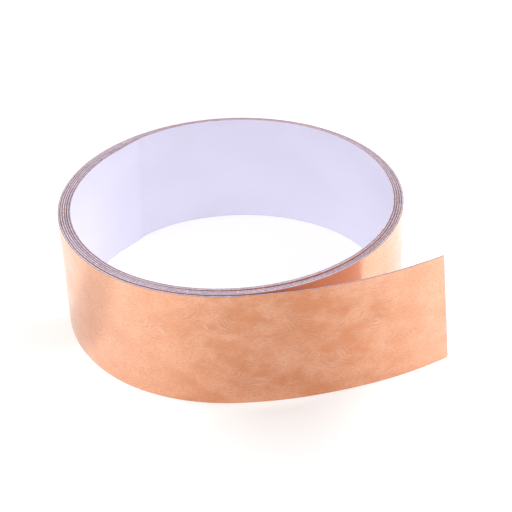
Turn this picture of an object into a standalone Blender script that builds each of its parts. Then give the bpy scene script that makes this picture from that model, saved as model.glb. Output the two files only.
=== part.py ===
"""Copper foil tape for stained glass: a coreless roll of self-adhesive copper strip with its end loose.

One strip, laminated from copper foil, an adhesive coat and a white release liner, is wound edge up in a
loose spiral with the copper outwards. The outer end stands off the roll as a tail, and the inner end
stands a little off the bore. The strip is divided where it bends: along the tail, at the tip where the
foil peels off its liner, and at the inner end.

The plan is worked out in millimetres round the roll's axis. The frame's origin is at the middle of the
whole outline, on the surface that the roll stands on.
"""

import math

import bmesh
import bpy

MM = 0.001

# The strip, from its copper face inwards.
TAPE_WIDTH = 20.0
FOIL_THICKNESS = 0.035
ADHESIVE_THICKNESS = 0.03
LINER_THICKNESS = 0.08
BOND_GAP = 0.01
ADHESIVE_DEPTH = FOIL_THICKNESS + BOND_GAP
LINER_DEPTH = ADHESIVE_DEPTH + ADHESIVE_THICKNESS + BOND_GAP
STRIP_MIDDLE = (LINER_DEPTH + LINER_THICKNESS) / 2
PEEL_MIDDLE = (ADHESIVE_DEPTH + ADHESIVE_THICKNESS) / 2
WHOLE_STRIP = ("foil", "adhesive", "liner")
PEELING_LAYERS = ("foil", "adhesive")

# The winding. Angles are in degrees in plan, anticlockwise from +X, and grow from the inner end outwards.
ROLL_RADIUS = 28.0
WHOLE_TURNS = 5
INNER_END_ANGLE = 125.0
OUTER_END_ANGLE = 270.0 + 360.0 * WHOLE_TURNS
STATION_ANGLE = 7.5

# Radial distance from one turn to the next: tight at the back of the roll, and loose round the rest.
TIGHT_PITCH = 0.18
LOOSE_PITCH = 0.36
TIGHT_ANGLE = 85.0
TIGHT_HALF_WIDTH = 28.0
LOOSENING_SPAN = 58.0

# Each turn steps out by one pitch along this stretch, where the strip climbs onto itself.
CLIMB_START = 195.0
CLIMB_SPAN = 45.0
LAST_TURN_LIFT = 0.1

# The inner end springs into the bore, less at its very tip.
INNER_BULGE = 0.68
INNER_BULGE_SPAN = 50.0
INNER_TIP_SPAN = 12.0
INNER_TIP_SHARE = 0.4

# The tail leaves the roll along its tangent and curves less than the roll does. Its end is cut a little
# off square, so its top edge is shorter than its bottom edge.
TAIL_RADIUS = 64.0
TAIL_LENGTH = 35.5
TAIL_CUT_SLANT = 1.6
TAIL_STATION = 2.0

# Where the strip bends: distances along the tail, and winding angles at the inner end.
TAIL_HINGES = (0.0, 8.0, 16.0, 24.0)
PEEL_HINGE = 27.2
CURL_HINGE = 31.2
INNER_HINGE_ANGLES = (155.0, 140.0)
HINGE_GAP = 0.3

COLLECTION_NAME = "copper_foil_tape_roll"
COPPER_COLOUR = (0.86, 0.52, 0.36, 1.0)
GLUE_COLOUR = (0.62, 0.55, 0.56, 1.0)
PAPER_COLOUR = (0.86, 0.85, 0.93, 1.0)
COPPER_ROUGHNESS = 0.32
GLUE_ROUGHNESS = 0.55
PAPER_ROUGHNESS = 0.6
METAL = 1.0
NOT_METAL = 0.0


def smooth_step(value):
    """0 up to 0, 1 from 1, and a smooth rise between them."""
    share = min(max(value, 0.0), 1.0)
    return share * share * (3.0 - 2.0 * share)


# ---------------------------------------------------------------- the strip's course in plan


def winding_pitch(angle):
    """Distance between neighbouring turns at a plan angle."""
    from_back = abs((angle - TIGHT_ANGLE + 180.0) % 360.0 - 180.0)
    looseness = smooth_step((from_back - TIGHT_HALF_WIDTH) / LOOSENING_SPAN)
    return TIGHT_PITCH + (LOOSE_PITCH - TIGHT_PITCH) * looseness


def turns_outside(angle):
    """How many whole turns lie outside the strip at a winding angle. The last climb takes it to -1."""
    climbs = (angle - CLIMB_START) / 360.0
    whole = math.floor(climbs)
    climbed = smooth_step((climbs - whole) * 360.0 / CLIMB_SPAN)
    return WHOLE_TURNS - whole - climbed


def inner_end_bulge(angle):
    """How far the strip stands into the bore near its inner end."""
    from_end = angle - INNER_END_ANGLE
    fade = 1.0 - smooth_step(from_end / INNER_BULGE_SPAN)
    tip = INNER_TIP_SHARE + (1.0 - INNER_TIP_SHARE) * smooth_step(from_end / INNER_TIP_SPAN)
    return INNER_BULGE * fade * tip


def copper_radius(angle):
    """Radius of the strip's copper face at a winding angle."""
    last_climb = CLIMB_START + 360.0 * WHOLE_TURNS
    lift = LAST_TURN_LIFT * smooth_step((angle - last_climb) / CLIMB_SPAN)
    return ROLL_RADIUS - turns_outside(angle) * winding_pitch(angle) + lift - inner_end_bulge(angle)


def wound_point(angle, depth):
    """Plan point of the wound strip, a depth in from its copper face."""
    radius = copper_radius(angle) - depth
    turn = math.radians(angle)
    return radius * math.cos(turn), radius * math.sin(turn)


def tail_point(distance, depth):
    """Plan point of the tail, a depth in from its copper face."""
    turn = distance / TAIL_RADIUS
    centre_y = TAIL_RADIUS - copper_radius(OUTER_END_ANGLE)
    radius = TAIL_RADIUS - depth
    return radius * math.sin(turn), centre_y - radius * math.cos(turn)


def stations(start, end, step):
    """Start, end and the whole steps between them."""
    first = math.floor(start / step) + 1
    last = math.ceil(end / step) - 1
    return [start, *(index * step for index in range(first, last + 1)), end]


def wound_edges(start, end, depth):
    """Bottom and top edge points of a stretch of the wound strip between two angles."""
    points = [wound_point(angle, depth) for angle in stations(start, end, STATION_ANGLE)]
    return points, points


def tail_edges(start, end, depth):
    """Bottom and top edge points of a stretch of the tail. The slanted cut draws the top edge back."""
    bottom = []
    top = []
    for distance in stations(start, end, TAIL_STATION):
        slant_share = max(0.0, (distance - CURL_HINGE) / (TAIL_LENGTH - CURL_HINGE))
        bottom.append(tail_point(distance, depth))
        top.append(tail_point(distance - TAIL_CUT_SLANT * slant_share, depth))
    return bottom, top


def outline_middle():
    """Middle of the whole outline in plan, from the last turn and the tail."""
    turn = wound_edges(OUTER_END_ANGLE - 360.0, OUTER_END_ANGLE, 0.0)[0]
    tail = tail_edges(0.0, TAIL_LENGTH, 0.0)[0]
    across = [point[0] for point in turn + tail]
    along = [point[1] for point in turn + tail]
    return (min(across) + max(across)) / 2, (min(along) + max(along)) / 2


# ---------------------------------------------------------------- scene, materials and pieces


def clear_scene():
    """Remove every object that the scene starts with."""
    for thing in list(bpy.data.objects):
        bpy.data.objects.remove(thing, do_unlink=True)


def make_material(name, colour, roughness, metallic):
    material = bpy.data.materials.new(name)
    material.use_nodes = True
    shader = material.node_tree.nodes["Principled BSDF"]
    shader.inputs["Base Color"].default_value = colour
    shader.inputs["Roughness"].default_value = roughness
    shader.inputs["Metallic"].default_value = metallic
    return material


def make_layers():
    """Depth, thickness and material of each layer of the strip, from the copper face inwards."""
    copper = make_material("copper_foil", COPPER_COLOUR, COPPER_ROUGHNESS, METAL)
    glue = make_material("adhesive", GLUE_COLOUR, GLUE_ROUGHNESS, NOT_METAL)
    paper = make_material("release_liner", PAPER_COLOUR, PAPER_ROUGHNESS, NOT_METAL)
    return {
        "foil": (0.0, FOIL_THICKNESS, copper),
        "adhesive": (ADHESIVE_DEPTH, ADHESIVE_THICKNESS, glue),
        "liner": (LINER_DEPTH, LINER_THICKNESS, paper),
    }


def ribbon_mesh(name, edges, origin):
    """An open upright surface from a bottom edge line to a top one, with its normals on the copper side."""
    bottom, top = edges
    shape = bmesh.new()
    feet = [shape.verts.new(((x - origin[0]) * MM, (y - origin[1]) * MM, 0.0)) for x, y in bottom]
    heads = [shape.verts.new(((x - origin[0]) * MM, (y - origin[1]) * MM, TAPE_WIDTH * MM)) for x, y in top]
    for index in range(len(feet) - 1):
        shape.faces.new((feet[index], feet[index + 1], heads[index + 1], heads[index]))
    mesh = bpy.data.meshes.new(name)
    shape.to_mesh(mesh)
    shape.free()
    return mesh


class Body:
    """What moves as one: an empty on the bend's upright axis, with the strip's pieces under it."""

    def __init__(self, collection, layers, name, axis_point, parent=None):
        self.collection = collection
        self.layers = layers
        self.name = name
        self.axis_point = axis_point
        self.empty = bpy.data.objects.new(name + "_axis", None)
        self.empty.empty_display_size = 4 * MM
        collection.objects.link(self.empty)
        from_point = (0.0, 0.0)
        if parent:
            self.empty.parent = parent.empty
            from_point = parent.axis_point
        self.empty.location.x = (axis_point[0] - from_point[0]) * MM
        self.empty.location.y = (axis_point[1] - from_point[1]) * MM

    def bend_to(self, name, axis_point):
        """The next body, beyond a bend at a plan point."""
        return Body(self.collection, self.layers, name, axis_point, self)

    def add_stretch(self, edge_lines, start, end, layer_names):
        """The named layers of the strip from one place on its course to another."""
        for layer_name in layer_names:
            depth, thickness, material = self.layers[layer_name]
            name = self.name + "_" + layer_name
            mesh = ribbon_mesh(name, edge_lines(start, end, depth), self.axis_point)
            mesh.materials.append(material)
            piece = bpy.data.objects.new(name, mesh)
            piece.parent = self.empty
            thicken = piece.modifiers.new("thickness", "SOLIDIFY")
            thicken.thickness = thickness * MM
            thicken.offset = -1.0
            thicken.use_even_offset = True
            self.collection.objects.link(piece)


def build_tail(roll):
    """The tail bends at four places, and at its tip the foil peels outwards off the liner."""
    half_gap = HINGE_GAP / 2
    body = roll
    for number, start in enumerate(TAIL_HINGES, 1):
        body = body.bend_to(f"tail_{number}", tail_point(start, STRIP_MIDDLE))
        if start != TAIL_HINGES[-1]:
            body.add_stretch(tail_edges, start + half_gap, TAIL_HINGES[number] - half_gap, WHOLE_STRIP)
    body.add_stretch(tail_edges, TAIL_HINGES[-1] + half_gap, PEEL_HINGE - half_gap, PEELING_LAYERS)
    body.add_stretch(tail_edges, TAIL_HINGES[-1] + half_gap, TAIL_LENGTH, ("liner",))
    tip = body.bend_to("foil_tip_1", tail_point(PEEL_HINGE, PEEL_MIDDLE))
    tip.add_stretch(tail_edges, PEEL_HINGE + half_gap, CURL_HINGE - half_gap, PEELING_LAYERS)
    tip = tip.bend_to("foil_tip_2", tail_point(CURL_HINGE, PEEL_MIDDLE))
    tip.add_stretch(tail_edges, CURL_HINGE + half_gap, TAIL_LENGTH, PEELING_LAYERS)


def build_inner_end(roll):
    """The inner end bends into the bore at two places."""
    root_angle, curl_angle = INNER_HINGE_ANGLES
    half_gap = math.degrees(HINGE_GAP / 2 / ROLL_RADIUS)
    root = roll.bend_to("inner_end_1", wound_point(root_angle, STRIP_MIDDLE))
    root.add_stretch(wound_edges, curl_angle + half_gap, root_angle - half_gap, WHOLE_STRIP)
    tip = root.bend_to("inner_end_2", wound_point(curl_angle, STRIP_MIDDLE))
    tip.add_stretch(wound_edges, INNER_END_ANGLE, curl_angle - half_gap, WHOLE_STRIP)


def build():
    clear_scene()
    collection = bpy.data.collections.new(COLLECTION_NAME)
    bpy.context.scene.collection.children.link(collection)
    roll = Body(collection, make_layers(), "roll", (0.0, 0.0))
    middle = outline_middle()
    roll.empty.location = (-middle[0] * MM, -middle[1] * MM, 0.0)
    half_gap = math.degrees(HINGE_GAP / 2 / ROLL_RADIUS)
    wound = (INNER_HINGE_ANGLES[0] + half_gap, OUTER_END_ANGLE - half_gap)
    roll.add_stretch(wound_edges, *wound, WHOLE_STRIP)
    build_tail(roll)
    build_inner_end(roll)


build()
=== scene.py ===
"""Looks of the copper foil tape roll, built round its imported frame.

One laminated strip, copper outwards and white release liner inwards, is wound edge up. Each layer is a
thin closed ribbon that follows the strip's own course in plan, so the wound coil, the tail and the inner
end read as one strip that bends where the joints are. Lengths of the strip are in millimetres and angles
in degrees, until a mesh is made in metres. Lights and the floor are in metres.
"""

import math

import bpy
from mathutils import Matrix, Vector, noise


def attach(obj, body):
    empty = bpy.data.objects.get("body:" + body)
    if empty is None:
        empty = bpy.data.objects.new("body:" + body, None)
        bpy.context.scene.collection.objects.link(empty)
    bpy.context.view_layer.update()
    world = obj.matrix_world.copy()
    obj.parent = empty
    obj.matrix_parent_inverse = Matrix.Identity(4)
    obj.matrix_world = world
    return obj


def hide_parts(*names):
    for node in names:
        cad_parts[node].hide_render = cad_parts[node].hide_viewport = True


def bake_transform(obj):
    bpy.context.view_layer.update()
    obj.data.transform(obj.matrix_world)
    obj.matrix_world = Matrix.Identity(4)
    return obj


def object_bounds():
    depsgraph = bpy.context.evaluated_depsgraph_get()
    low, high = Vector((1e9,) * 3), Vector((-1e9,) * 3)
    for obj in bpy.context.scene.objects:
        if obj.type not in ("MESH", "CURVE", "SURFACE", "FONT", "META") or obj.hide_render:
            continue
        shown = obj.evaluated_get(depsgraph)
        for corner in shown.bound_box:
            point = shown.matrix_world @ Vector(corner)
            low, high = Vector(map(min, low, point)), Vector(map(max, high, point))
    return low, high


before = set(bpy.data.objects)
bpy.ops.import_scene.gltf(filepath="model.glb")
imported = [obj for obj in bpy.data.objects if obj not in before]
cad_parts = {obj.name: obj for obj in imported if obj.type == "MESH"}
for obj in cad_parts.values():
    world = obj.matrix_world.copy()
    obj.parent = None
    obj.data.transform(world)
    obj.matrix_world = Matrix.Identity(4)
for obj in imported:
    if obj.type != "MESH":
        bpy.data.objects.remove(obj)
cad_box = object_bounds()

MM = 0.001

# The strip, from its copper face inwards.
TAPE_WIDTH = 20.0
FOIL_THICKNESS = 0.035
ADHESIVE_THICKNESS = 0.03
LINER_THICKNESS = 0.08
BOND_GAP = 0.01
ADHESIVE_DEPTH = FOIL_THICKNESS + BOND_GAP
LINER_DEPTH = ADHESIVE_DEPTH + ADHESIVE_THICKNESS + BOND_GAP
STRIP_MIDDLE = (LINER_DEPTH + LINER_THICKNESS) / 2

# The winding, as the frame has it.
ROLL_RADIUS = 28.0
WHOLE_TURNS = 5
INNER_END_ANGLE = 125.0
OUTER_END_ANGLE = 270.0 + 360.0 * WHOLE_TURNS
TIGHT_PITCH = 0.18
LOOSE_PITCH = 0.36
TIGHT_ANGLE = 85.0
TIGHT_HALF_WIDTH = 28.0
LOOSENING_SPAN = 58.0
CLIMB_START = 195.0
CLIMB_SPAN = 45.0
LAST_TURN_LIFT = 0.1
INNER_BULGE = 0.68
INNER_BULGE_SPAN = 50.0
INNER_TIP_SPAN = 12.0
INNER_TIP_SHARE = 0.4
TAIL_RADIUS = 64.0
TAIL_LENGTH = 35.5
TAIL_CUT_SLANT = 1.6

# Hinges: plan angles at the strip's inner end, and places along its tail.
ROOT_HINGE_ANGLE = 155.0
CURL_HINGE_ANGLE = 140.0
NEAR_HINGE = 8.0
MIDDLE_HINGE = 16.0
FAR_HINGE = 24.0
PEEL_HINGE = 27.2
CURL_HINGE = 31.2

# Places where one ribbon ends and the next begins, between the hinges.
COIL_END = -4.0
NEAR_START = 4.0
MIDDLE_START = 12.0
FAR_START = 20.0
PEEL_START = 25.7
CURL_START = 29.2

# How far a free stretch bends to each side of its hinge.
TAIL_BEND = 3.9
SHORT_BEND = 1.5
INNER_BEND = 3.6

# How far a stretch bends past its hinge when it lifts off what it lies on. It doesn't bend before the
# hinge, so that it never swings back into what is behind it.
ROOT_LIFT = 3.9
PEEL_LIFT = 1.95

# Spacing of a ribbon's stations along the strip, and its rows up the strip's width.
COIL_STATION = 0.75
BEND_STATION = 0.35
ROW_HEIGHTS = (0.0, 0.1, 0.3, 1.5, 3.0, 5.0, 7.0, 9.0, 11.0, 13.0, 15.0, 17.0, 18.5, 19.7, 19.9, 20.0)

# Corners sharper than this many degrees aren't smoothed over.
SHARP_ANGLE = 40.0

# Slow waves of the strip's face, and how unevenly the turns lie on each other.
WAVE_DEPTH = 0.07
WAVE_LENGTH = 13.0
TAIL_WAVE_DEPTH = 0.16
TAIL_WAVE_GROWTH = 12.0
LOOSE_SHARE = 0.4
TURN_WANDER_LENGTH = 21.0
EDGE_STAGGER = 0.26
EDGE_STAGGER_LENGTH = 30.0
WANDER_SHARE = 0.1
RISE_SHARE = 0.85

# The strip is drawn narrower by the stagger, so that its risen turns stay as low as the tape is wide.
STRIP_WIDTH = TAPE_WIDTH - EDGE_STAGGER

# The inner turns ride up at the front right, and a line of copper shows above the turn outside them: plan
# angle and half width of that side, and the winding angles between which the turns settle.
RISE_ANGLE = 312.0
RISE_HALF_WIDTH = 84.0
RISEN_UP_TO = 735.0
SETTLED_AT = 945.0

# The turns outside the inner end share its bulge, from this many degrees before its plan angle.
BULGE_LEAD = 15.0

# The liner's slit edges are frayed: they stand wider than the paper, as far as the next turn leaves room.
# The first number is how far down from the slit that goes.
FRAY_DEPTH = 0.25
FRAY_ROOM_SHARE = 0.75
WIDEST_FRAY = 0.13
FREE_FRAY = 0.05

# Dents: place along the strip, height, radius and depth.
DENTS = (
    (-44.5, 18.6, 1.3, 0.05),
    (-31.0, 1.4, 1.0, 0.05),
    (-37.5, 18.8, 1.7, -0.12),
    (-20.0, 8.0, 3.4, 0.07),
    (-6.0, 12.5, 2.8, 0.06),
    (9.0, 6.0, 3.0, 0.08),
    (22.0, 14.0, 2.6, 0.09),
    (29.5, 19.0, 2.0, 0.12),
)

# The foil is slit a hair short of its liner, and the tail's top corner is a little rounded.
FOIL_SETBACK = 0.2
TIP_CORNER_DROP = 0.12
TIP_CORNER_SPAN = 1.2

# The inner end is cut a little aslant, shorter at its bottom corner.
INNER_CUT_BACK = 0.7
INNER_CUT_SLANT = 1.3
INNER_CUT_SPAN = 6.0

# ---------------------------------------------------------------- the strip's course in plan


def smooth_step(value):
    """0 up to 0, 1 from 1, and a smooth rise between them."""
    share = min(max(value, 0.0), 1.0)
    return share * share * (3.0 - 2.0 * share)


def winding_pitch(angle):
    """Distance between neighbouring turns at a plan angle."""
    from_back = abs((angle - TIGHT_ANGLE + 180.0) % 360.0 - 180.0)
    looseness = smooth_step((from_back - TIGHT_HALF_WIDTH) / LOOSENING_SPAN)
    return TIGHT_PITCH + (LOOSE_PITCH - TIGHT_PITCH) * looseness


def turns_outside(angle):
    """How many whole turns lie outside the strip at a winding angle."""
    climbs = (angle - CLIMB_START) / 360.0
    whole = math.floor(climbs)
    climbed = smooth_step((climbs - whole) * 360.0 / CLIMB_SPAN)
    return WHOLE_TURNS - whole - climbed


def inner_end_bulge(angle):
    """How far the strip stands into the bore near its inner end."""
    from_end = angle - INNER_END_ANGLE
    fade = 1.0 - smooth_step(from_end / INNER_BULGE_SPAN)
    tip = INNER_TIP_SHARE + (1.0 - INNER_TIP_SHARE) * smooth_step(from_end / INNER_TIP_SPAN)
    return INNER_BULGE * fade * tip


def copper_radius(angle):
    """Radius of the strip's copper face at a winding angle."""
    last_climb = CLIMB_START + 360.0 * WHOLE_TURNS
    lift = LAST_TURN_LIFT * smooth_step((angle - last_climb) / CLIMB_SPAN)
    return ROLL_RADIUS - turns_outside(angle) * winding_pitch(angle) + lift - inner_end_bulge(angle)


def place_of(angle):
    """Place along the strip of a winding angle: 0 where the tail leaves the roll, negative inside it."""
    return math.radians(angle - OUTER_END_ANGLE) * ROLL_RADIUS


def course(place):
    """Plan point of the copper face, round the roll's axis, at a place along the strip."""
    if place >= 0.0:
        turn = place / TAIL_RADIUS
        centre_y = TAIL_RADIUS - copper_radius(OUTER_END_ANGLE)
        return Vector((TAIL_RADIUS * math.sin(turn), centre_y - TAIL_RADIUS * math.cos(turn)))
    angle = OUTER_END_ANGLE + math.degrees(place / ROLL_RADIUS)
    turn = math.radians(angle)
    return copper_radius(angle) * Vector((math.cos(turn), math.sin(turn)))


def outward(place):
    """Unit plan vector out of the copper face at a place along the strip."""
    step = 0.05
    along = (course(place + step) - course(place - step)).normalized()
    return Vector((along.y, -along.x))


# ---------------------------------------------------------------- the strip's uneven surface


def shared_bulge(angle):
    """How far a turn outside the inner end follows it into the bore, the outer turns less."""
    turns_in = round((angle - INNER_END_ANGLE) / 360.0)
    if turns_in < 1:
        return 0.0
    from_end = angle - INNER_END_ANGLE - 360.0 * turns_in
    bulge = inner_end_bulge(INNER_END_ANGLE + max(from_end, 0.0))
    lead = smooth_step(1.0 + from_end / BULGE_LEAD)
    return bulge * lead * max(0.0, 1.0 - turns_in / WHOLE_TURNS)


def turn_sink(place):
    """How far a wound turn lies inside its course: turns lie unevenly, and follow the inner end."""
    if place >= 0.0:
        return 0.0
    angle = OUTER_END_ANGLE + math.degrees(place / ROLL_RADIUS)
    room = LOOSE_SHARE * (winding_pitch(angle) - TIGHT_PITCH)
    wander = 0.5 + 0.5 * noise.noise((place / TURN_WANDER_LENGTH, 7.5, 2.5))
    return room * wander * smooth_step(-place / TURN_WANDER_LENGTH) + shared_bulge(angle)


def face_sink(place, height):
    """How far the face lies inside its course: uneven turns, slow waves and dents."""
    point = course(place) / WAVE_LENGTH
    wave = 0.5 + 0.5 * noise.noise((point.x, point.y, height / WAVE_LENGTH))
    depth = WAVE_DEPTH + TAIL_WAVE_DEPTH * smooth_step(place / TAIL_WAVE_GROWTH)
    sink = turn_sink(place) + depth * wave
    for dent_place, dent_height, radius, dent_depth in DENTS:
        away = math.hypot(place - dent_place, height - dent_height) / radius
        if away < 1.0:
            sink += dent_depth * (1.0 - smooth_step(away))
    return sink


def fray(place):
    """How much wider than the paper its slit edge is, which the next turn inwards limits."""
    inner = place - 2.0 * math.pi * ROLL_RADIUS
    if place >= 0.0 or inner < place_of(INNER_END_ANGLE):
        return FREE_FRAY
    apart = course(place).length - turn_sink(place) - course(inner).length + turn_sink(inner)
    room = apart - LINER_DEPTH - LINER_THICKNESS
    return min(WIDEST_FRAY, max(0.0, FRAY_ROOM_SHARE * room))


def edge_rise(place):
    """How far the strip stands above the floor: its turns aren't flush, and the inner ones ride up."""
    angle = OUTER_END_ANGLE + math.degrees(place / ROLL_RADIUS)
    from_middle = abs((angle - RISE_ANGLE + 180.0) % 360.0 - 180.0)
    risen = smooth_step((SETTLED_AT - angle) / (SETTLED_AT - RISEN_UP_TO))
    risen *= 1.0 - smooth_step(from_middle / RISE_HALF_WIDTH)
    wander = 0.5 + 0.5 * noise.noise((place / EDGE_STAGGER_LENGTH, 4.5, 1.5))
    return EDGE_STAGGER * (1.0 - WANDER_SHARE * (1.0 - wander) - RISE_SHARE * (1.0 - risen))


def cut_back(place, height, end):
    """The place drawn back where an end of the strip is cut aslant and the tail's top corner is rounded."""
    from_inner_end = place - place_of(INNER_END_ANGLE)
    if from_inner_end < INNER_CUT_SPAN:
        cut = INNER_CUT_BACK + INNER_CUT_SLANT * (1.0 - height / TAPE_WIDTH)
        return place + cut * (1.0 - from_inner_end / INNER_CUT_SPAN)
    if place <= CURL_HINGE:
        return place
    share = (place - CURL_HINGE) / (end - CURL_HINGE)
    corner = TIP_CORNER_DROP * smooth_step(1.0 - (TAPE_WIDTH - height) / TIP_CORNER_SPAN)
    return place - share * (TAIL_CUT_SLANT * height / TAPE_WIDTH + corner)


# ---------------------------------------------------------------- ribbons


axis = Vector((cad_box[0].x + ROLL_RADIUS * MM, cad_box[1].y - ROLL_RADIUS * MM, 0.0))


def strip_point(place, height, depth):
    """Point in the frame, in metres, at a depth in from the copper face."""
    plan = course(place) - outward(place) * (face_sink(place, height) + depth)
    return axis + Vector((plan.x, plan.y, height)) * MM


def station_places(start, end, spacing):
    """Even places from start to end, no further apart than the spacing."""
    count = max(2, math.ceil((end - start) / spacing))
    return [start + (end - start) * index / count for index in range(count + 1)]


class Layer:
    """One layer of the strip: its depth, thickness, margins and finish."""

    def __init__(self, name, depth, thickness, side_margin, end_margin, slot, material, frays=False):
        self.name = name
        self.depth = depth
        self.thickness = thickness
        self.side_margin = side_margin
        self.end_margin = end_margin
        self.slot = slot
        self.material = material
        self.frays = frays


def section_points(layer, place, end):
    """A layer's cross-section, up its outer face and down its inner one, with strip coordinates."""
    low, high = layer.side_margin, STRIP_WIDTH - layer.side_margin
    rise = edge_rise(place)
    widening = fray(place) if layer.frays else 0.0
    outer = []
    inner = []
    for row in ROW_HEIGHTS:
        height = min(max(row * STRIP_WIDTH / TAPE_WIDTH, low), high)
        drawn = cut_back(place, height, end)
        from_slit = min(height - low, high - height)
        thickness = layer.thickness + widening * (1.0 - smooth_step(from_slit / FRAY_DEPTH))
        coordinates = (drawn, height, 0.0)
        outer.append((strip_point(drawn, height + rise, layer.depth), coordinates))
        inner.append((strip_point(drawn, height + rise, layer.depth + thickness), coordinates))
    return outer + inner[::-1]


def make_ribbon(name, layer, start, end, spacing):
    """A thin closed ribbon of one layer, lofted through its sections, with its ends capped."""
    last_place = TAIL_LENGTH - layer.end_margin
    sections = [
        section_points(layer, place, last_place)
        for place in station_places(start, min(end, last_place), spacing)
    ]
    ring_size = len(sections[0])
    faces = []
    for ring in range(0, (len(sections) - 1) * ring_size, ring_size):
        for corner in range(ring_size):
            after = (corner + 1) % ring_size
            next_ring = ring + ring_size
            faces.append((ring + corner, next_ring + corner, next_ring + after, ring + after))
    last_ring = (len(sections) - 1) * ring_size
    for row in range(len(ROW_HEIGHTS) - 1):
        cap = (row, row + 1, ring_size - 2 - row, ring_size - 1 - row)
        faces.append(cap)
        faces.append(tuple(last_ring + corner for corner in reversed(cap)))
    points = [point for ring in sections for point, _ in ring]
    coordinates = [coordinate for ring in sections for _, coordinate in ring]
    mesh = bpy.data.meshes.new(name)
    mesh.from_pydata(points, [], faces)
    flat = [value for coordinate in coordinates for value in coordinate]
    mesh.attributes.new("strip", "FLOAT_VECTOR", "POINT").data.foreach_set("vector", flat)
    add_grain_direction(mesh, coordinates)
    mesh.shade_smooth()
    mesh.set_sharp_from_angle(angle=math.radians(SHARP_ANGLE))
    mesh.materials.append(layer.material)
    ribbon = bpy.data.objects.new(name, mesh)
    bpy.context.scene.collection.objects.link(ribbon)
    return ribbon


def add_grain_direction(mesh, coordinates):
    """A UV map whose first axis runs up the strip, across its rolling grain, for the copper's gloss."""
    grain = mesh.uv_layers.new(name="grain")
    for loop in mesh.loops:
        place, height, _ = coordinates[loop.vertex_index]
        grain.data[loop.index].uv = (height / TAPE_WIDTH, place / TAPE_WIDTH)


def bending_ribbon(name, layer, span, bend, bodies):
    """A ribbon over the bend between two bodies, baked into the frame, with the second body's part of its
    layer hidden.
    """
    ribbon = make_ribbon(name, layer, span[0], span[1], BEND_STATION)
    start, end = (strip_point(place, TAPE_WIDTH / 2, STRIP_MIDDLE) for place in bend)
    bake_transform(ribbon)
    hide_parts(bodies[1] + "_" + layer.name)
    return ribbon


# ---------------------------------------------------------------- materials


class Nodes:
    """A material's node tree, built one node at a time, on the strip's own coordinates."""

    def __init__(self, name, colour, roughness, metallic):
        self.material = bpy.data.materials.new(name)
        self.material.use_nodes = True
        self.tree = self.material.node_tree
        self.shader = self.tree.nodes["Principled BSDF"]
        self.shader.inputs["Base Color"].default_value = (*colour, 1.0)
        self.shader.inputs["Roughness"].default_value = roughness
        self.shader.inputs["Metallic"].default_value = metallic
        attribute = self.tree.nodes.new("ShaderNodeAttribute")
        attribute.attribute_name = "strip"
        self.strip = attribute.outputs["Vector"]
        split = self.tree.nodes.new("ShaderNodeSeparateXYZ")
        self.feed(split.inputs[0], self.strip)
        self.place = split.outputs["X"]
        self.height = split.outputs["Y"]

    def feed(self, socket, value):
        if isinstance(value, bpy.types.NodeSocket):
            self.tree.links.new(value, socket)
        else:
            socket.default_value = value

    def math(self, operation, first, second=0.0, clamp=False):
        node = self.tree.nodes.new("ShaderNodeMath")
        node.operation = operation
        node.use_clamp = clamp
        self.feed(node.inputs[0], first)
        self.feed(node.inputs[1], second)
        return node.outputs[0]

    def placed(self, location=(0.0, 0.0, 0.0), turn=0.0, scale=(1.0, 1.0, 1.0)):
        """The strip's coordinates seen from a location, turned and scaled."""
        node = self.tree.nodes.new("ShaderNodeMapping")
        node.vector_type = "TEXTURE"
        node.inputs["Location"].default_value = location
        node.inputs["Rotation"].default_value = (0.0, 0.0, math.radians(turn))
        node.inputs["Scale"].default_value = scale
        self.feed(node.inputs["Vector"], self.strip)
        return node.outputs[0]

    def noise(self, vector, scale=1.0, detail=3.0, roughness=0.5, distortion=0.0):
        node = self.tree.nodes.new("ShaderNodeTexNoise")
        self.feed(node.inputs["Vector"], vector)
        node.inputs["Scale"].default_value = scale
        node.inputs["Detail"].default_value = detail
        node.inputs["Roughness"].default_value = roughness
        node.inputs["Distortion"].default_value = distortion
        return node.outputs["Fac"]

    def between(self, value, low, high, to_low=0.0, to_high=1.0):
        """The value's place between low and high, smoothed and carried to another range."""
        node = self.tree.nodes.new("ShaderNodeMapRange")
        node.interpolation_type = "SMOOTHSTEP"
        self.feed(node.inputs["Value"], value)
        node.inputs["From Min"].default_value = low
        node.inputs["From Max"].default_value = high
        self.feed(node.inputs["To Min"], to_low)
        self.feed(node.inputs["To Max"], to_high)
        return node.outputs[0]

    def mix(self, share, first, second):
        node = self.tree.nodes.new("ShaderNodeMix")
        node.data_type = "RGBA"
        self.feed(node.inputs[0], share)
        self.feed(node.inputs[6], first)
        self.feed(node.inputs[7], second)
        return node.outputs[2]

    def vector(self, operation, first, second=(0.0, 0.0, 0.0)):
        node = self.tree.nodes.new("ShaderNodeVectorMath")
        node.operation = operation
        self.feed(node.inputs[0], first)
        self.feed(node.inputs[1], second)
        return node

    def length(self, vector):
        return self.vector("LENGTH", vector).outputs["Value"]

    def bump(self, height, strength, distance_mm):
        node = self.tree.nodes.new("ShaderNodeBump")
        node.inputs["Strength"].default_value = strength
        node.inputs["Distance"].default_value = distance_mm * MM
        self.feed(node.inputs["Height"], height)
        self.feed(self.shader.inputs["Normal"], node.outputs[0])

    def set(self, name, value):
        self.feed(self.shader.inputs[name], value)


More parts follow.
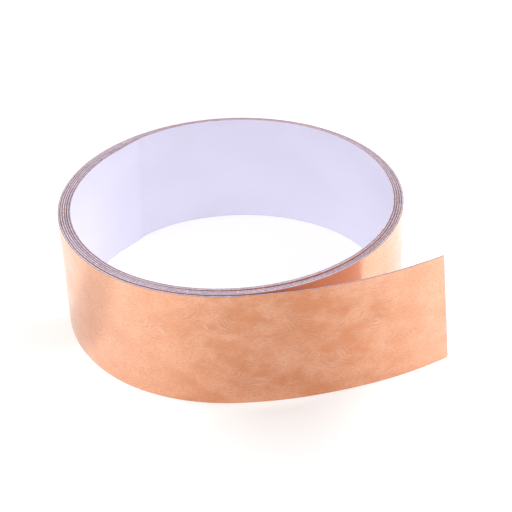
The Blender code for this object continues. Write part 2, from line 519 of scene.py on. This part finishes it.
# Fingerprints on the copper: place, height, turn, half width, half height and strength. All are made up.
RIDGE_PERIOD = 0.47
RIDGE_WANDER = 1.9
ARCH_DROP = 1.7
ARCH_FLATNESS = 1.3
PRINTS = (
    (-21.0, 7.0, 35.0, 4.6, 6.6, 0.6),
    (-13.5, 14.0, -20.0, 4.8, 6.2, 0.7),
    (-4.0, 15.0, 15.0, 5.6, 6.0, 1.0),
    (1.0, 6.0, -35.0, 5.2, 6.6, 0.9),
    (7.5, 13.0, 60.0, 5.4, 7.0, 1.0),
    (14.0, 7.0, 10.0, 5.0, 6.8, 0.9),
    (20.0, 14.0, -25.0, 5.4, 6.8, 0.9),
    (27.0, 8.0, 40.0, 4.8, 6.4, 0.7),
    (-70.0, 10.0, 15.0, 5.4, 7.6, 0.7),
    (-84.0, 13.0, -30.0, 5.0, 6.8, 0.6),
    (-112.0, 8.0, -35.0, 5.0, 7.4, 0.7),
)


def print_ridges(nodes, place, height, turn, half_width, half_height, strength):
    """Arched ridges inside a patchy oval: 0 off the print, up to strength on a ridge."""
    local = nodes.placed((place, height, 0.0), turn)
    oval = nodes.length(nodes.placed((place, height, 0.0), turn, (half_width, half_height, 1.0)))
    arch_centre = (place, height - ARCH_DROP * half_height, 0.0)
    rings = nodes.length(nodes.placed(arch_centre, turn, (1.0, ARCH_FLATNESS, 1.0)))
    wander = nodes.math("MULTIPLY", nodes.noise(local, 0.22, 1.0), RIDGE_WANDER * 2.0)
    phase = nodes.math("MULTIPLY", nodes.math("ADD", rings, wander), 2.0 * math.pi / RIDGE_PERIOD)
    ridge = nodes.between(nodes.math("SINE", phase), -0.6, 0.6)
    patch = nodes.between(nodes.noise(local, 0.5, 3.0, 0.65), 0.42, 0.6)
    inside = nodes.between(oval, 1.0, 0.6)
    mask = nodes.math("MULTIPLY", nodes.math("MULTIPLY", inside, patch), strength)
    return nodes.math("MULTIPLY", ridge, mask), mask


def slit_edge(nodes, start, end):
    """0 further in from the strip's two slit edges than start, and 1 nearer to them than end."""
    from_middle = nodes.math("ABSOLUTE", nodes.math("SUBTRACT", nodes.height, STRIP_WIDTH / 2))
    return nodes.between(from_middle, STRIP_WIDTH / 2 - start, STRIP_WIDTH / 2 - end)


# The copper's colours: plain, handled, stained, greasy and untouched. The handled colour also paints shade
# in the middle, and the untouched one also paints the orange light in the crevice behind the tail.
LIGHT_COPPER = (0.82, 0.458, 0.315, 1.0)
DEEP_COPPER = (0.67, 0.285, 0.152, 1.0)
STAINED_COPPER = (0.56, 0.235, 0.125, 1.0)
PALE_COPPER = (0.83, 0.54, 0.41, 1.0)
CLEAN_AND_CREVICE_LIT_COPPER = (0.98, 0.44, 0.235, 1.0)

# How much of the untouched colour shows, and the stretch of the outermost whole turn behind the tail, which
# it paints with the orange light bounced in the crevice there: its middle, its half length, the share of
# that which is fully painted, and a half height that takes in the whole strip.
CLEAN_AND_CREVICE_LIT_SHARE = 0.9
CREVICE_LIGHT_MIDDLE = -166.0
CREVICE_LIGHT_REACH = 12.5
CREVICE_LIGHT_CORE = 0.86
CREVICE_LIGHT_HEIGHT = 40.0

# Where fingers have handled the copper, and where its middle is painted darker as shade for a dimmer
# reflection:
# its middle, and its half length and half height.
HANDLED_AND_DIM_MIDDLE = (8.0, 9.0, 0.0)
HANDLED_AND_DIM_REACH = (30.0, 30.0, 1.0)


def make_copper():
    """Rolled copper foil: fine rolling grain, uneven tarnished patches, finger marks, scratches and fresh
    slit edges, with painted shade in the middle and painted orange light in the crevice behind the tail.
    """
    nodes = Nodes("copper_foil", (0.8, 0.42, 0.28), 0.34, 1.0)
    ridges = 0.0
    grease = 0.0
    for mark in PRINTS:
        ridge, mask = print_ridges(nodes, *mark)
        ridges = nodes.math("ADD", ridges, ridge)
        grease = nodes.math("MAXIMUM", grease, mask)
    grain = nodes.noise(nodes.placed(scale=(9.0, 0.11, 1.0)), 1.0, 4.0, 0.6)
    clouds = nodes.noise(nodes.placed(scale=(8.0, 5.5, 1.0)), 1.0, 5.0, 0.6, 0.3)
    blotches = nodes.noise(nodes.placed(scale=(3.0, 2.2, 1.0)), 1.0, 4.0, 0.6)
    speckle = nodes.noise(nodes.placed(scale=(0.5, 0.22, 1.0)), 1.0, 4.0, 0.75)
    scratch_noise = nodes.noise(nodes.placed(turn=3.0, scale=(14.0, 0.16, 1.0)), 1.0, 1.0)
    from_scratch = nodes.math("ABSOLUTE", nodes.math("SUBTRACT", scratch_noise, 0.5))
    scratches = nodes.between(from_scratch, 0.012, 0.0)
    scratch_area = nodes.between(nodes.noise(nodes.placed(scale=(11.0, 4.0, 1.0)), 1.0, 1.0), 0.54, 0.64)
    scratches = nodes.math("MULTIPLY", scratches, scratch_area)

    handled_and_dim = nodes.between(nodes.length(nodes.placed(HANDLED_AND_DIM_MIDDLE, 0.0, HANDLED_AND_DIM_REACH)), 1.0, 0.2)
    mottling = nodes.between(handled_and_dim, 0.0, 1.0, 0.35, 1.0)
    cloudy = nodes.math("MULTIPLY", nodes.between(clouds, 0.4, 0.6), nodes.math("MULTIPLY", mottling, 0.5))
    # Half of the handled mask darkens the copper's middle. This is painted shade for a dimmer reflection,
    # on top of the handling.
    tarnish_and_dim_reflection = nodes.math("ADD", cloudy, nodes.math("MULTIPLY", handled_and_dim, 0.5), True)
    tone = nodes.mix(tarnish_and_dim_reflection, LIGHT_COPPER, DEEP_COPPER)
    stains = nodes.math("MULTIPLY", nodes.between(blotches, 0.48, 0.72, 0.0, 0.34), mottling)
    tone = nodes.mix(stains, tone, STAINED_COPPER)
    tone = nodes.mix(nodes.between(blotches, 0.5, 0.3, 0.0, 0.26), tone, PALE_COPPER)
    tone = nodes.mix(nodes.between(speckle, 0.44, 0.66, 0.0, 0.5), tone, STAINED_COPPER)
    tone = nodes.mix(nodes.math("MULTIPLY", grease, 0.16), tone, PALE_COPPER)
    tone = nodes.mix(nodes.math("MULTIPLY", ridges, 0.44, True), tone, STAINED_COPPER)
    # The stretch behind the tail takes the untouched colour as painted orange light from the crevice there.
    # The inner turns' slit edges take it as fresh copper.
    crevice_lit_middle = (CREVICE_LIGHT_MIDDLE, TAPE_WIDTH / 2, 0.0)
    crevice_lit_oval = nodes.placed(crevice_lit_middle, 0.0, (CREVICE_LIGHT_REACH, CREVICE_LIGHT_HEIGHT, 1.0))
    crevice_lit = nodes.between(nodes.length(crevice_lit_oval), 1.0, CREVICE_LIGHT_CORE)
    outer_end = CREVICE_LIGHT_MIDDLE - 2.0 * CREVICE_LIGHT_REACH
    inner_turns = nodes.between(nodes.place, CREVICE_LIGHT_MIDDLE, outer_end)
    inner_edges = nodes.math("MULTIPLY", slit_edge(nodes, 0.45, 0.2), inner_turns)
    clean_and_crevice_lit = nodes.math("MAXIMUM", crevice_lit, inner_edges)
    tone = nodes.mix(nodes.math("MULTIPLY", clean_and_crevice_lit, CLEAN_AND_CREVICE_LIT_SHARE), tone, CLEAN_AND_CREVICE_LIT_COPPER)
    nodes.set("Base Color", tone)

    rough = nodes.between(clouds, 0.3, 0.7, 0.14, 0.2)
    rough = nodes.math("ADD", rough, nodes.math("MULTIPLY", grain, 0.06))
    rough = nodes.math("ADD", rough, nodes.math("MULTIPLY", grease, 0.06))
    rough = nodes.math("SUBTRACT", rough, nodes.math("MULTIPLY", scratches, 0.08), True)
    nodes.set("Roughness", rough)
    nodes.set("Anisotropic", 0.85)
    tangent = nodes.tree.nodes.new("ShaderNodeTangent")
    tangent.direction_type = "UV_MAP"
    tangent.uv_map = "grain"
    nodes.set("Tangent", tangent.outputs[0])

    height = nodes.math("MULTIPLY", grain, 0.2)
    height = nodes.math("ADD", height, nodes.math("MULTIPLY", blotches, 0.8))
    height = nodes.math("ADD", height, nodes.math("MULTIPLY", speckle, 0.1))
    height = nodes.math("ADD", height, nodes.math("MULTIPLY", ridges, 0.16))
    height = nodes.math("SUBTRACT", height, nodes.math("MULTIPLY", scratches, 0.2))
    nodes.bump(height, 0.35, 0.05)
    return nodes.material


# The liner's colours: its paper, the fibres in it, and its slit edges.
BRIGHT_PAPER = (0.835, 0.81, 0.955, 1.0)
DULL_PAPER = (0.8, 0.78, 0.92, 1.0)
PAPER_FIBRE = (0.7, 0.68, 0.82, 1.0)
DARK_SLIT = (0.44, 0.33, 0.41, 1.0)
PALE_SLIT = (0.84, 0.76, 0.93, 1.0)


def make_liner():
    """White silicone paper, a little blue, with fibres and faint bands across it from being wound."""
    nodes = Nodes("release_liner", (0.74, 0.72, 0.86), 0.5, 0.0)
    fibre = nodes.noise(nodes.placed(turn=12.0, scale=(0.5, 0.2, 1.0)), 1.0, 4.0, 0.65)
    bands = nodes.noise(nodes.placed(scale=(3.2, 60.0, 1.0)), 1.0, 2.0)
    clouds = nodes.noise(nodes.placed(scale=(14.0, 9.0, 1.0)), 1.0, 3.0)
    paper = nodes.mix(nodes.between(clouds, 0.3, 0.7), BRIGHT_PAPER, DULL_PAPER)
    paper = nodes.mix(nodes.between(fibre, 0.35, 0.75, 0.0, 0.14), paper, PAPER_FIBRE)
    fray_noise = nodes.noise(nodes.placed(scale=(0.3, 0.1, 1.0)), 1.0, 3.0, 0.7)
    turn_noise = nodes.noise(nodes.placed(scale=(26.0, 60.0, 1.0)), 1.0, 1.0)
    fibre_share = nodes.math("MULTIPLY", fray_noise, 0.6)
    turn_share = nodes.math("MULTIPLY", turn_noise, 0.4)
    frayed = nodes.math("ADD", fibre_share, turn_share)
    slit = nodes.mix(nodes.between(frayed, 0.36, 0.66), DARK_SLIT, PALE_SLIT)
    paper = nodes.mix(slit_edge(nodes, 0.05, 0.01), paper, slit)
    nodes.set("Base Color", paper)
    nodes.set("Roughness", nodes.between(fibre, 0.3, 0.7, 0.42, 0.58))
    height = nodes.math("ADD", nodes.math("MULTIPLY", fibre, 0.4), bands)
    nodes.bump(height, 0.35, 0.04)
    return nodes.material


# The adhesive's colours: its coat, the streaks in it, and air under it.
ADHESIVE_COAT = (0.56, 0.41, 0.37, 1.0)
ADHESIVE_STREAK = (0.44, 0.31, 0.28, 1.0)
TRAPPED_AIR = (0.66, 0.55, 0.52, 1.0)


def make_adhesive():
    """A thin glossy acrylic coat, with streaks from the coater and small air marks."""
    nodes = Nodes("adhesive", (0.5, 0.36, 0.33), 0.3, 0.0)
    streaks = nodes.noise(nodes.placed(scale=(16.0, 0.5, 1.0)), 1.0, 3.0)
    air = nodes.between(nodes.noise(nodes.strip, 2.4, 2.0), 0.6, 0.7)
    tone = nodes.mix(nodes.between(streaks, 0.3, 0.7), ADHESIVE_COAT, ADHESIVE_STREAK)
    nodes.set("Base Color", nodes.mix(nodes.math("MULTIPLY", air, 0.4), tone, TRAPPED_AIR))
    nodes.set("Roughness", nodes.between(streaks, 0.3, 0.7, 0.22, 0.38))
    nodes.bump(nodes.math("ADD", streaks, air), 0.3, 0.02)
    return nodes.material


# ---------------------------------------------------------------- the strip, piece by piece


def around(hinge, reach):
    """A bend's start and end, as far before its hinge as after it."""
    return hinge - reach, hinge + reach


def build_strip():
    layers = (
        Layer("foil", 0.0, FOIL_THICKNESS, 0.02, FOIL_SETBACK, "copper_foil", make_copper()),
        Layer(
            "adhesive",
            ADHESIVE_DEPTH,
            ADHESIVE_THICKNESS,
            0.03,
            FOIL_SETBACK,
            "adhesive",
            make_adhesive(),
        ),
        Layer("liner", LINER_DEPTH, LINER_THICKNESS, 0.0, 0.0, "release_liner", make_liner(), True),
    )
    inner_root = place_of(ROOT_HINGE_ANGLE)
    inner_curl = place_of(CURL_HINGE_ANGLE)
    inner_tip = place_of(INNER_END_ANGLE)
    inner_middle = (inner_root + inner_curl) / 2
    coil_start = inner_root + (inner_root - inner_curl) / 2
    # Bodies are named from the roll outwards, so the inner end's bends run backwards along the strip.
    root_bend = (inner_root, inner_middle)
    curl_bend = around(inner_curl, INNER_BEND)[::-1]
    near_bend = around(NEAR_HINGE, TAIL_BEND)
    middle_bend = around(MIDDLE_HINGE, TAIL_BEND)
    far_bend = around(FAR_HINGE, SHORT_BEND)
    for layer in layers:
        coil = make_ribbon("coil_" + layer.name, layer, coil_start, COIL_END, COIL_STATION)
        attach(coil, "roll")
        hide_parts("roll_" + layer.name)
        peeling = layer.name != "liner"
        far_end = PEEL_START if peeling else TAIL_LENGTH
        bends = [
            ("inner_root", (inner_middle, coil_start), root_bend, ("roll", "inner_end_1")),
            ("inner_tip", (inner_tip, inner_middle), curl_bend, ("inner_end_1", "inner_end_2")),
            ("tail_root", (COIL_END, NEAR_START), (0.0, ROOT_LIFT), ("roll", "tail_1")),
            ("tail_near", (NEAR_START, MIDDLE_START), near_bend, ("tail_1", "tail_2")),
            ("tail_middle", (MIDDLE_START, FAR_START), middle_bend, ("tail_2", "tail_3")),
            ("tail_far", (FAR_START, far_end), far_bend, ("tail_3", "tail_4")),
        ]
        if peeling:
            peel_bend = (PEEL_HINGE, PEEL_HINGE + PEEL_LIFT)
            tip_bend = around(CURL_HINGE, SHORT_BEND)
            bends += [
                ("tip_peel", (PEEL_START, CURL_START), peel_bend, ("tail_4", "foil_tip_1")),
                ("tip_curl", (CURL_START, TAIL_LENGTH), tip_bend, ("foil_tip_1", "foil_tip_2")),
            ]
        for name, span, bend, bodies in bends:
            bending_ribbon(name + "_" + layer.name, layer, span, bend, bodies)


# ---------------------------------------------------------------- stage, light and camera

# The camera, in units of the tape's width over WIDTH_PER_UNIT, round the roll's axis on the floor.
WIDTH_PER_UNIT = 0.7125
CAMERA_PITCH = 0.5739397
CAMERA_DISTANCE = 8.80757
CAMERA_ROLL = -0.0389724
AIM_RIGHT = 0.134134
AIM_UP = 0.249122
CAMERA_LENS = 102.55

CAMERA_CLIP_START = 0.01

WORLD_LIGHT = 0.62
WORLD_COLOUR = (0.98, 0.98, 1.0, 1.0)

# Softboxes: name, place, size, power in watts, and colour.
SOFTBOXES = (
    ("left_softbox", (-0.5, -0.25, 0.5), 0.5, 1.1, (1.0, 0.99, 0.98)),
    ("right_softbox", (0.55, -0.2, 0.45), 0.5, 1.1, (1.0, 0.99, 0.98)),
    ("back_softbox", (0.42, 0.3, 0.34), 0.35, 1.7, (1.0, 0.995, 0.99)),
)

FLOOR_SIZE = 8.0
FLOOR_COLOUR = (0.74, 0.738, 0.735)
FLOOR_GLOW_COLOUR = (1.0, 0.995, 0.98, 1.0)

# The floor's glow in front of the roll and beside it, inside the bore with the width of its edge, and how
# much less it is in the one dimmer direction.
FRONT_GLOW = 0.31
SIDE_GLOW = 0.76
BORE_GLOW = 0.42
BORE_GLOW_EDGE = 3.0
SIDE_DIRECTION = (0.9816, 0.1908, 0.0)
DIM_DIRECTION = (-0.97, -0.242, 0.0)
DIM_HALF_ANGLE = 16.0
DIM_GLOW = 0.26


def add_camera():
    unit = TAPE_WIDTH / WIDTH_PER_UNIT * MM
    ahead = Vector((0.0, math.cos(CAMERA_PITCH), -math.sin(CAMERA_PITCH)))
    right = Vector((1.0, 0.0, 0.0))
    up = Vector((0.0, math.sin(CAMERA_PITCH), math.cos(CAMERA_PITCH)))
    camera_x = math.cos(CAMERA_ROLL) * right + math.sin(CAMERA_ROLL) * up
    camera_y = -math.sin(CAMERA_ROLL) * right + math.cos(CAMERA_ROLL) * up
    place = axis + (AIM_RIGHT * right + AIM_UP * up - CAMERA_DISTANCE * ahead) * unit
    camera = bpy.data.objects.new("camera", bpy.data.cameras.new("camera"))
    camera.data.lens = CAMERA_LENS
    camera.data.clip_start = CAMERA_CLIP_START
    turn = Matrix((camera_x, camera_y, -ahead)).transposed().to_4x4()
    camera.matrix_world = Matrix.Translation(place) @ turn
    bpy.context.scene.collection.objects.link(camera)
    bpy.context.scene.camera = camera


def add_softbox(name, location, size, power, colour):
    """A large square light that faces the roll."""
    light = bpy.data.lights.new(name, "AREA")
    light.size = size
    light.energy = power
    light.color = colour
    lamp = bpy.data.objects.new(name, light)
    lamp.location = location
    lamp.rotation_euler = (-Vector(location)).to_track_quat("-Z", "Y").to_euler()
    bpy.context.scene.collection.objects.link(lamp)


def make_floor_material():
    """Matt white that glows a little, most to the roll's left and right, with one dimmer direction."""
    nodes = Nodes("floor", FLOOR_COLOUR, 0.8, 0.0)
    nodes.set("Specular IOR Level", 0.1)
    nodes.set("Emission Color", FLOOR_GLOW_COLOUR)
    place = nodes.tree.nodes.new("ShaderNodeTexCoord").outputs["Object"]
    direction = nodes.vector("NORMALIZE", place).outputs["Vector"]
    across = nodes.vector("DOT_PRODUCT", direction, SIDE_DIRECTION).outputs["Value"]
    towards_dim = nodes.vector("DOT_PRODUCT", direction, DIM_DIRECTION).outputs["Value"]
    glow = nodes.between(nodes.math("ABSOLUTE", across), 0.0, 1.0, FRONT_GLOW, SIDE_GLOW)
    dimming = nodes.between(towards_dim, math.cos(math.radians(DIM_HALF_ANGLE)), 1.0, 0.0, DIM_GLOW)
    bore_edge = (ROLL_RADIUS + BORE_GLOW_EDGE) * MM
    outside = nodes.between(nodes.length(place), ROLL_RADIUS * MM, bore_edge)
    strength = nodes.between(outside, 0.0, 1.0, BORE_GLOW, nodes.math("SUBTRACT", glow, dimming))
    nodes.set("Emission Strength", strength)
    return nodes.material


def add_stage():
    bpy.ops.mesh.primitive_plane_add(size=FLOOR_SIZE)
    floor = bpy.context.object
    floor.name = "floor"
    floor.data.materials.append(make_floor_material())
    world = bpy.data.worlds.new("studio")
    world.use_nodes = True
    background = world.node_tree.nodes["Background"]
    background.inputs["Color"].default_value = WORLD_COLOUR
    background.inputs["Strength"].default_value = WORLD_LIGHT
    bpy.context.scene.world = world
    for softbox in SOFTBOXES:
        add_softbox(*softbox)
    bpy.context.scene.view_settings.view_transform = "Standard"


build_strip()
add_stage()
add_camera()
